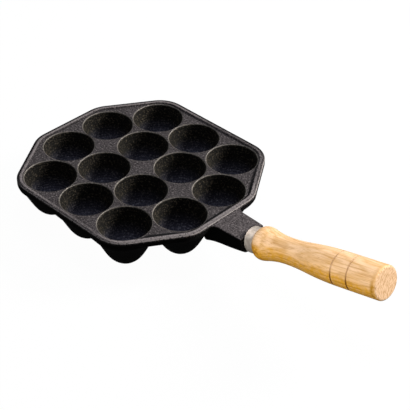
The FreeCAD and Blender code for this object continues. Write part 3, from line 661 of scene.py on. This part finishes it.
# %% [markdown]
# ## Cast iron
# Seasoned cast iron is a dark, fine-grained skin. Where tools and cloths rub it, on the flat web, the rim
# and the neck's top, it is greyer and a little warm, and these upward faces are lighter than the sides
# partly as a painted sheen. Inside the cups the skin is nearly black, with the rings that the mould's
# tool left. An image texture would blur close up, so the finish is worked out: where a point lies, how
# the skin's grain runs, where the rim is worn, where highlight and shade are painted on it, and the
# colours laid over each other through masks. It all reads the object's own coordinates, so the grain
# keeps its real scale.

# %% Begin and end a finish
def new_finish(name):
    """An empty material and its net."""
    material = bpy.data.materials.new(name)
    material.use_nodes = True
    material.node_tree.nodes.clear()
    return material, Net(material.node_tree)


def end_finish(material, net, sockets):
    """Joins the main shader, with its sockets, to the material's output. Returns the material."""
    shader = net.node("ShaderNodeBsdfPrincipled", {}, sockets)
    net.node("ShaderNodeOutputMaterial", {}, {"Surface": shader})
    print(material.name, "of", len(net.tree.nodes), "nodes")
    return material


def noise(net, place, size, detail=2.0, roughness=0.5):
    """Noise whose blots are about as wide as the given size, in the place's own units."""
    return net.node("ShaderNodeTexNoise", {}, {"Vector": place, "Scale": 1 / size, "Detail": detail,
                                               "Roughness": roughness})


# %% Where a point of the iron lies
def find_place(net):
    """Millimetres from the plate's middle, face and side, with soft masks for parts of the pan."""
    at = SimpleNamespace()
    object_place = net.node("ShaderNodeTexCoord", {}, {}, out="Object")
    at.place = net.node("ShaderNodeVectorMath", {"operation": "SCALE"}, {0: object_place, "Scale": 1 / MM})
    at.x, at.y = at.place.part("X") - plate_x / MM, at.place.part("Y")
    at.height = at.place.part("Z") - cook_z / MM
    hollow, edge = [net.node("ShaderNodeAttribute", {"attribute_name": name}, {}, out="Fac")
                    for name in ("hollow", "edge")]
    at.hollow = hollow.step(0.2, 0.8)
    # the neck stores no edge, so there the distance past the handle's side counts
    at.inset = ((1 - edge) * (rim_reach / MM)).math("MINIMUM", half_length / MM - at.x)
    at.neck = (at.x - half_length / MM).step(0, 1.5)
    at.handle_side = at.x.step(35, 70)
    at.near_side = (at.x * 1.5 - at.y).step(-20, 30)
    at.left_side = (-at.x).step(-10, 40)
    at.far_side = at.y.step(20, 60)
    return at


def find_grain(net, place):
    """The iron's grains: a fine one, a coarse one with bright specks and dark pits, and wide clouds."""
    grain = SimpleNamespace()
    grain.fine = noise(net, place, 0.7, 2, 0.6)
    grain.coarse = noise(net, place, 1.45, 2, 0.7)
    grain.speck = grain.coarse.step(0.52, 0.68)
    grain.pit = 1 - grain.coarse.step(0.32, 0.46)
    grain.cloud = noise(net, place, 14, 3)
    grain.blot = noise(net, place, 4.5)
    return grain


# %% Where the rim is rubbed, and where highlight and shade are painted on it
rim_from = (0.1, 0.2)
arris_from, arris_to = (0.02, 0.15), (0.4, 0.7)
crest_from, crest_to = (1.7, 2.2), (3.3, 3.7)
crevice_from, crevice_to = (4.1, 4.6), (5.2, 6.0)


def find_rim_wear_and_light(at):
    """Masks along the rim. Each band fades in and out between two insets in millimetres.

    The crest is rubbed iron with a painted highlight: broader and brighter on the handle's side,
    brighter at the left end, and dimmer on the far side. There the rim's outer part carries painted
    shade, and the bright line lies further in. A line of painted shade runs along the rim's foot.
    """
    rim_wear_and_light = SimpleNamespace()
    on_rim = at.height.step(*rim_from)
    past_arris = at.inset.step(*arris_to)
    # The worn arris is lighter only on the near side: bare iron with a painted highlight.
    rim_wear_and_light.arris = on_rim * at.inset.step(*arris_from) * (1 - past_arris) * at.near_side

    # The crest's painted highlight: widened and brightened on the handle's side, brightened at the left end,
    # and dimmed and moved inwards on the far side as painted shade.
    broad = past_arris * at.handle_side * (1 - at.far_side)
    shifted = at.inset - (1 - at.near_side) * 0.6
    crest = on_rim * (shifted.step(*crest_from) + broad) * (1 - shifted.step(*crest_to))
    bright = 0.38 - at.far_side * 0.22 + at.handle_side * (0.57 - at.far_side * 0.35)
    rim_wear_and_light.crest = crest * (bright + at.left_side * (0.45 + at.far_side * 0.27))

    # This mask paints shade over the rim's outer part, fully on the far side and faintly elsewhere, and
    # roughens the iron there.
    rim_wear_and_light.skin = on_rim * (past_arris * 0.15 + 1 - at.near_side) * (1 - at.inset.step(*crest_from))
    # A line of painted shade along the rim's foot: widest and darkest on the handle's side, fainter on the
    # far side.
    wider = at.handle_side * (0.9 + (-at.y).step(25, 55) * 1.5)
    crevice = at.inset.step(*crevice_from) * (1 - (at.inset - wider).step(*crevice_to))
    rim_wear_and_light.crevice = crevice * (0.45 + at.handle_side) * (1 - at.far_side * 0.6)
    return rim_wear_and_light


# %% The iron's colours
web_dark, web_light = (0.039, 0.034, 0.035, 1), (0.051, 0.045, 0.047, 1)
neck_grey = (0.097, 0.084, 0.086, 1)
rubbed_and_lit_grey = (0.23, 0.205, 0.203, 1)
speck_grey = (0.18, 0.158, 0.16, 1)
bare_arris_highlight = (0.42, 0.38, 0.365, 1)
pit_black = (0.006, 0.005, 0.005, 1)
# Painted shade: the line along the rim's foot and the rim's outer part on the far side.
painted_shade_black = (0.003, 0.003, 0.004, 1)
side_black, side_speck = (0.003, 0.0028, 0.0028, 1), (0.01, 0.009, 0.009, 1)
bowl_black, bowl_bottom_sheen = (0.0045, 0.004, 0.003, 1), (0.046, 0.046, 0.068, 1)
crust_brown, crust_bottom_sheen = (0.062, 0.051, 0.036, 1), (0.16, 0.16, 0.2, 1)
rubbed_lip_highlight = (0.28, 0.255, 0.23, 1)


def plate_colour(net, at, grain, rim_wear_and_light):
    """The flat web, the neck's top and the rim."""
    return net.over(
        net.mix(grain.cloud.step(0.35, 0.7), web_dark, web_light),
        (at.neck * (0.45 + grain.blot.step(0.3, 0.7) * 0.3), neck_grey),
        (rim_wear_and_light.crest, rubbed_and_lit_grey),
        (grain.speck * 0.9, speck_grey),
        (rim_wear_and_light.arris * 0.75, bare_arris_highlight),
        (grain.pit * 0.95, pit_black),
        (rim_wear_and_light.crevice, painted_shade_black),
        (rim_wear_and_light.skin, painted_shade_black))


def cup_colour(net, at, grain, lip):
    """Inside a cup: a crust over black, both paler and bluer towards the bottom as a painted sheen, and a
    rubbed lip with a painted highlight.
    """
    # Paler and bluer towards the bottom: a painted sheen of the cool overhead light.
    deep = (-at.height).step(9, 24)
    crust = noise(net, at.place, 1.5, 2, 0.8).step(0.52, 0.66)
    return net.over(
        net.mix(deep, bowl_black, bowl_bottom_sheen),
        (crust, net.mix(deep, crust_brown, crust_bottom_sheen)),
        # The lip is rubbed iron with a painted highlight, made stronger on the handle's side.
        (lip * (0.42 + grain.speck * 0.4 + at.handle_side * 0.18), rubbed_lip_highlight))


# %% The iron's finish
bowl_ring_pitch = 1.9


def make_iron():
    material, net = new_finish("cast_iron_skin")
    at = find_place(net)
    grain = find_grain(net, at.place)
    rim_wear_and_light = find_rim_wear_and_light(at)
    lip = at.hollow * at.height.step(-0.85, -0.15)
    top = at.height.step(-1.0, -0.1) * (1 - at.hollow)

    # Upward faces take the plate's lighter colours and the rest stays near black: partly rubbed wear, partly
    # painted sheen.
    colour = net.over(
        net.mix(grain.speck * 0.6, side_black, side_speck),
        (at.hollow, cup_colour(net, at, grain, lip)),
        (top, plate_colour(net, at, grain, rim_wear_and_light)))
    rough = 0.62 + grain.fine * 0.14 + at.hollow * 0.08 - lip * 0.35 + rim_wear_and_light.skin * 0.3
    rings = (at.height * (2 * math.pi / bowl_ring_pitch) + grain.cloud * 2).math("SINE") * at.hollow
    relief = (grain.fine * 0.45 + grain.coarse) * (1 - at.hollow * 0.35) + rings * 0.08
    bump = net.node("ShaderNodeBump", {}, {"Strength": 1.0, "Distance": 0.85 * MM, "Height": relief})
    return end_finish(material, net, {"Base Color": colour, "Metallic": lip * 0.5, "Roughness": rough,
                                      "Specular IOR Level": 0.12, "Normal": bump})


iron = make_iron()

# %% Run the casting's tree
casting_values = {**casting_inputs, "Neck": neck_blank, "Gussets": gusset_blank, "Cup Tool": cup_tool,
                  "Bore Tool": bore_tool, "Finish": iron}
casting_mesh = run_tree(blank, casting_tree(), casting_values)
for tool in (blank, neck_blank, gusset_blank, cup_tool, bore_tool):
    bpy.data.objects.remove(tool)
pan_casting = new_object("pan_casting", casting_mesh)
print("casting:", len(casting_mesh.vertices), "points,", len(casting_mesh.polygons), "faces")


# %% Smooth the casting's faces, but keep its real edges
def shade(piece, sharp_degrees):
    """Smooth shading that keeps edges sharper than an angle, weighted so that flats stay flat."""
    piece.data.shade_smooth()
    piece.data.set_sharp_from_angle(angle=math.radians(sharp_degrees))
    weighted = piece.modifiers.new("weighted_normals", "WEIGHTED_NORMAL")
    weighted.keep_sharp = True


shade(pan_casting, 38)
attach(pan_casting, "root")
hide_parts("pan")

# %% [markdown]
# ## The ferrule
# A drawn steel cap keeps the wood from splitting where the stud goes in. Its front is turned in round a
# small bend, and its open rim is slightly rolled. It is turned as one closed section, wall and all.

# %% Turn the ferrule
ferrule_radius = 10 * MM
ferrule_wall = 0.8 * MM
ferrule_length = 8.5 * MM
ferrule_corner = 1.6 * MM
ferrule_hole = 4.3 * MM


def ferrule_section():
    """The wall's closed section as (along, radius), from the hole over the outside and back inside."""
    bend = ferrule_radius - ferrule_corner
    inner = ferrule_radius - ferrule_wall
    lip = ferrule_wall / 2
    front = [(0, ferrule_hole), (0, bend)]
    outer = [(ferrule_corner - y, bend + x) for y, x in arc((0, 0), ferrule_corner, 0, 90, 8)][1:]
    rolled = [(ferrule_length - lip + x, inner + lip + y) for x, y in arc((0, 0), lip, 90, -90, 8)]
    inside = [(ferrule_corner - y, bend + x) for y, x in
              reversed(arc((0, 0), ferrule_corner - ferrule_wall, 0, 90, 5))]
    return front + outer + rolled + inside + [(ferrule_wall, ferrule_hole)]


ferrule_cap = as_object("ferrule_cap", lathe(ferrule_section(), 96, on_axis, closed=True))
print("ferrule:", len(ferrule_cap.data.polygons), "faces")


# %% The ferrule's and the stud's steel
def axis_place(net):
    """Object coordinates in millimetres, turned to run along the grip's axis: X along it, Z up."""
    object_place = net.node("ShaderNodeTexCoord", {}, {}, out="Object")
    turn = Matrix.Rotation(axis_tilt, 3, "Y")
    return net.node("ShaderNodeMapping", {}, {"Vector": object_place, "Scale": (1 / MM,) * 3,
                                              "Rotation": (0, axis_tilt, 0),
                                              "Location": turn @ axis_start * (-1 / MM)})


brush_marks = (4, 0.35, 0.35)


def make_steel(name, dark, light, rough_low, rough_high):
    """Steel with marks that run round it, as a lathe leaves them, and a few stains."""
    material, net = new_finish(name)
    place = axis_place(net)
    squeezed = net.node("ShaderNodeVectorMath", {"operation": "MULTIPLY"}, {0: place, 1: brush_marks})
    brushed = noise(net, squeezed, 1)
    stain = noise(net, place, 3.5, 3)
    rough = stain.step(0.3, 0.8) * (rough_high - rough_low) + brushed * 0.08 + rough_low
    bump = net.node("ShaderNodeBump", {}, {"Strength": 0.25, "Distance": 0.05 * MM, "Height": brushed})
    return end_finish(material, net, {"Base Color": net.mix(stain.step(0.35, 0.7), dark, light),
                                      "Roughness": rough, "Metallic": 0.7, "Normal": bump})


satin_dark, satin_light = (0.54, 0.47, 0.41, 1), (0.7, 0.635, 0.57, 1)
plated_dark, plated_light = (0.45, 0.43, 0.38, 1), (0.62, 0.6, 0.55, 1)

ferrule_cap.data.materials.append(make_steel("satin_steel", satin_dark, satin_light, 0.4, 0.52))
shade(ferrule_cap, 60)
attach(ferrule_cap, "root")
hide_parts("ferrule")

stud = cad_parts["handle_stud"]
stud.data.materials.clear()
stud.data.materials.append(make_steel("plated_stud_steel", plated_dark, plated_light, 0.3, 0.5))

# %% [markdown]
# ## The grip
# The grip is turned from one stick: a spigot inside the ferrule, a bulge, a waist for the fingers and a
# barrel that ends in a softened face. The arcs of its outline touch each other, so the outline is a formula:
# each crest and hollow is a circle whose meeting points follow from its neighbours. Two grooves are scored
# into it.

# %% The grip's outline
shoulder_radius = 10.3 * MM
bulge_at = ferrule_length + 5 * MM
bulge_radius = 12.6 * MM
bulge_crown = 16 * MM
waist_at = ferrule_length + 28 * MM
waist_radius = 9.65 * MM
barrel_at = waist_at + 49.5 * MM
barrel_radius = 12.5 * MM
barrel_crown = 270 * MM
grip_end = barrel_at + 36 * MM
end_rounding = 1.8 * MM
groove_width = 1.1 * MM
groove_depth = 0.6 * MM
groove_shares = (-0.55, -0.5, -0.25, -0.08, 0, 0.08, 0.25, 0.5, 0.55)
grooves_at = [grip_end - reach for reach in (38.3 * MM, 24.5 * MM)]


def crest_to_waist(crest_at, crest_radius, crown, s):
    """The radius at s on a turning that goes from a crest's circle to the waist's hollow circle."""
    run, fall = abs(crest_at - waist_at), crest_radius - waist_radius
    both = (run ** 2 + fall ** 2) / (2 * fall)
    hollow = both - crown
    from_crest = abs(s - crest_at)
    if from_crest < run * crown / both:
        return crest_radius - crown + math.sqrt(crown ** 2 - from_crest ** 2)
    return waist_radius + hollow - math.sqrt(hollow ** 2 - (run - from_crest) ** 2)


def grip_radius(s):
    """The turned radius at s along the axis, without the end's rounding and with the grooves."""
    if s < bulge_at:
        rise = bulge_radius - shoulder_radius
        front = ((bulge_at - ferrule_length) ** 2 + rise ** 2) / (2 * rise)
        radius = bulge_radius - front + math.sqrt(front ** 2 - (bulge_at - s) ** 2)
    elif s < waist_at:
        radius = crest_to_waist(bulge_at, bulge_radius, bulge_crown, s)
    elif s < barrel_at:
        radius = crest_to_waist(barrel_at, barrel_radius, barrel_crown, s)
    else:
        radius = barrel_radius
    for groove in grooves_at:
        radius -= groove_depth * max(0, 1 - abs(s - groove) / (groove_width / 2))
    return radius


# %% Turn the grip
spigot_clearance = 0.1 * MM
spigot_gap = 0.2 * MM
spigot_chamfer = 1.6 * MM
grip_stations = 150


def grip_section():
    """Half of the stick as (along, radius): the spigot, the turned outline and the softened end."""
    spigot = ferrule_radius - ferrule_wall - spigot_clearance
    start = ferrule_wall + spigot_gap
    turned = grip_end - end_rounding - ferrule_length
    stations = {ferrule_length + turned * n / grip_stations for n in range(grip_stations + 1)}
    for groove in grooves_at:
        stations |= {groove + groove_width * share for share in groove_shares}
    front = [(start, 0), (start, spigot - spigot_chamfer), (start + spigot_chamfer, spigot),
             (ferrule_length, spigot)]
    body = [(s, grip_radius(s)) for s in sorted(stations)]
    face_radius = barrel_radius - end_rounding
    corner = [(grip_end - end_rounding + x, face_radius + y) for x, y in
              arc((0, 0), end_rounding, 90, 0, 8)][1:]
    face = [(grip_end, face_radius * share) for share in (0.75, 0.5, 0.25, 0)]
    return front + body + corner + face


wooden_grip = as_object("wooden_grip", lathe(grip_section(), 128, on_axis))
print("grip:", len(wooden_grip.data.polygons), "faces")

# %% [markdown]
# ## The wood
# The stick is a pale, close-grained hardwood. Its year rings are cylinders round a pith that lies outside
# the stick, so along the turning they show as long streaks and on the end as arcs. One ring formula makes
# both. Fine fibres and short pores run with the stick, the wood is darker and more amber on its low side
# and near the ferrule, and the grooves are burnt.

# %% How the wood grew
pith_across, pith_up = 19, -24
year_width = 2.1


def find_figure(net, place):
    """The wood's figure, from millimetres along the stick, across it and up."""
    wood = SimpleNamespace(along=place.part("X"), across=place.part("Y"), up=place.part("Z"))

    def stretched(length, width, detail):
        squeezed = net.node("ShaderNodeVectorMath", {"operation": "DIVIDE"},
                            {0: place, 1: (length, width, width)})
        return noise(net, squeezed, 1, detail)

    pith_y = wood.across - pith_across + wood.along * 0.05
    pith_z = wood.up - pith_up - wood.along * 0.03
    from_pith = (pith_y * pith_y + pith_z * pith_z).math("SQRT") + stretched(42, 10, 2) * 7
    wood.year = ((from_pith * (2 * math.pi / year_width)).math("SINE") * 0.5 + 0.5) ** 2.5
    wood.fibre = stretched(16, 0.75, 3)
    wood.streak = wood.fibre.step(0.5, 0.68)
    wood.pore = stretched(6, 0.4, 1).step(0.62, 0.7)
    wood.cloud = stretched(26, 7, 2)
    wood.vein = stretched(46, 1.3, 2).step(0.54, 0.66)
    wood.mottle = noise(net, place, 2.6).step(0.42, 0.6)
    wood.low_side = (wood.cloud * 13 - 6.5 - wood.up).step(-7, 1.5)
    wood.end = wood.along.step(grip_end / MM - 0.9, grip_end / MM - 0.2)
    return wood


# %% The wood's colours
wood_pale, wood_honey = (0.8, 0.54, 0.325, 1), (0.56, 0.32, 0.115, 1)
wood_amber, wood_dark = (0.68, 0.345, 0.033, 1), (0.34, 0.14, 0.012, 1)
vein_brown, pore_brown = (0.42, 0.215, 0.07, 1), (0.4, 0.2, 0.06, 1)
end_pale, end_honey, end_brown = (0.75, 0.52, 0.33, 1), (0.57, 0.34, 0.18, 1), (0.44, 0.24, 0.095, 1)
arris_shadow_brown = (0.36, 0.17, 0.01, 1)
burnt_brown = (0.13, 0.05, 0.01, 1)


def side_colour(net, wood):
    """The turned side: streaks and veins, darker and more amber low down and near the ferrule."""
    by_ferrule = (1 - wood.along.step(12, 24)) * (-wood.up).step(-8, 2)
    darkened = (wood.streak * 0.4 + wood.year * 0.2) * wood.low_side + wood.mottle * by_ferrule * 0.8
    return net.over(
        wood_pale,
        (wood.year * 0.5 + wood.streak * 0.5, wood_honey),
        (wood.vein * 0.5, vein_brown),
        ((1 - wood.cloud.step(0.3, 0.6)) * 0.3, wood_honey),
        (wood.low_side * (0.7 + wood.mottle * 0.3) + by_ferrule * 0.6, wood_amber),
        (darkened, wood_dark),
        (wood.pore * 0.5, pore_brown))


def end_colour(net, wood, place):
    """The sawn end: the year rings' arcs under dark pores."""
    sawn = net.node("ShaderNodeVectorMath", {"operation": "DIVIDE"}, {0: place, 1: (1, 0.9, 3.6)})
    end_pore = noise(net, sawn, 1, 3, 0.7).step(0.46, 0.66)
    rings = net.mix(wood.year * 0.5 + wood.fibre * 0.2, end_pale, end_honey)
    return net.mix(end_pore, rings, end_brown)


# %% The wood's finish
def make_wood():
    material, net = new_finish("turned_wood")
    place = axis_place(net)
    wood = find_figure(net, place)
    # The end's rounded arris is darkened all round, painted shade that damps the lamp's highlight there, with
    # a painted shadow band along its lower part.
    arris = wood.along.step(grip_end / MM - 5.2, grip_end / MM - 2.2) * (1 - wood.end)
    low_arris_shadow = arris * (0.4 + wood.mottle * 0.6) * (-wood.up).step(-11, -1)
    colour = net.over(
        side_colour(net, wood),
        (wood.end, end_colour(net, wood, place)),
        (arris * 0.5, wood_honey),
        (low_arris_shadow, arris_shadow_brown))
    for groove in grooves_at:
        from_groove = (wood.along - groove / MM).math("ABSOLUTE")
        burnt = (1 - from_groove.step(0.35, 1.0)) * (0.45 + 0.55 * (-wood.up).step(-8, 2))
        colour = net.mix(burnt, colour, burnt_brown)

    rough = 0.46 + wood.fibre * 0.12 + wood.end * 0.2 + wood.low_side * 0.1
    relief = wood.fibre * 0.6 + wood.year * 0.3 - wood.pore * 0.6
    bump = net.node("ShaderNodeBump", {}, {"Strength": 0.3, "Distance": 0.12 * MM, "Height": relief})
    return end_finish(material, net, {"Base Color": colour, "Roughness": rough, "Specular IOR Level": 0.1,
                                      "Coat Weight": 0.03, "Coat Roughness": 0.3, "Normal": bump})


wooden_grip.data.materials.append(make_wood())
shade(wooden_grip, 50)
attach(wooden_grip, "root")
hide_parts("grip")

# %% [markdown]
# ## The studio
# The pan stands on a plain pale floor. The main softbox stands behind it on the handle's side: it draws the
# sheen on the flat iron and lights the cups' left walls and the wood. A soft one overhead fills the top, and
# a faint low one beyond the plate's far end edges the rim. Wood and steel need more light than black iron,
# so two more have flags that keep them on the grip and the ferrule. The floor is seen, and takes the
# shadows, but throws no light back, so the casting's sides stay dark.

# %% The floor and the surround
floor_half = 6
floor_brightness = 0.98
surround_strength = 0.07
white = (1, 1, 1, 1)

floor_shape = bmesh.new()
bmesh.ops.create_grid(floor_shape, x_segments=1, y_segments=1, size=floor_half)
floor = as_object("floor", floor_shape)
floor.data.materials.append(end_finish(*new_finish("pale_floor"), {
    "Base Color": (0.02, 0.02, 0.02, 1), "Roughness": 1, "Specular IOR Level": 0, "Emission Color": white,
    "Emission Strength": floor_brightness}))
floor.visible_diffuse = False
floor.visible_glossy = False

surround = bpy.data.worlds.new("surround")
bpy.context.scene.world = surround
surround.use_nodes = True
surround.node_tree.nodes.clear()
sky = Net(surround.node_tree)
seen = sky.node("ShaderNodeLightPath", {}, {}, out="Is Camera Ray")
fill = sky.node("ShaderNodeBackground", {}, {"Color": white, "Strength": surround_strength})
backdrop = sky.node("ShaderNodeBackground", {}, {"Color": white, "Strength": 1.0})
either = sky.node("ShaderNodeMixShader", {}, {0: seen, 1: fill, 2: backdrop})
sky.node("ShaderNodeOutputWorld", {}, {"Surface": either})
print("floor", 2 * floor_half, "m wide")


# %% The softboxes
def softbox(name, azimuth, elevation, distance, size, power, colour=(1, 1, 1), only=()):
    """A square area light that looks at the origin. Flags keep its light to the pieces in only, if any."""
    light = bpy.data.lights.new(name, "AREA")
    light.shape = "SQUARE"
    light.size = size
    light.energy = power
    light.color = colour
    back = bearing(math.radians(azimuth), math.radians(elevation))
    stand = new_object(name, light)
    turn = back.to_track_quat("Z", "Y").to_matrix().to_4x4()
    stand.matrix_world = Matrix.Translation(back * distance) @ turn
    if only:
        lit = bpy.data.collections.new(name + "_lights")
        for piece in only:
            lit.objects.link(piece)
        stand.light_linking.receiver_collection = lit
    print(name, "of", power, "W")


softbox("softbox_handle_side", 153, 30, 1.5, 0.5, 37, (1, 0.97, 0.93))
softbox("softbox_overhead", 215, 78, 1.5, 0.7, 9, (0.88, 0.91, 1))
softbox("softbox_behind_the_rim", 262, 4, 1.5, 0.6, 3)
softbox("softbox_for_the_grip", 32, 30, 1.2, 0.8, 17, (1, 0.97, 0.92), only=(wooden_grip, ferrule_cap))
softbox("softbox_for_the_ferrule", 268, 22, 1.2, 0.7, 5, (1, 0.92, 0.86), only=(ferrule_cap,))
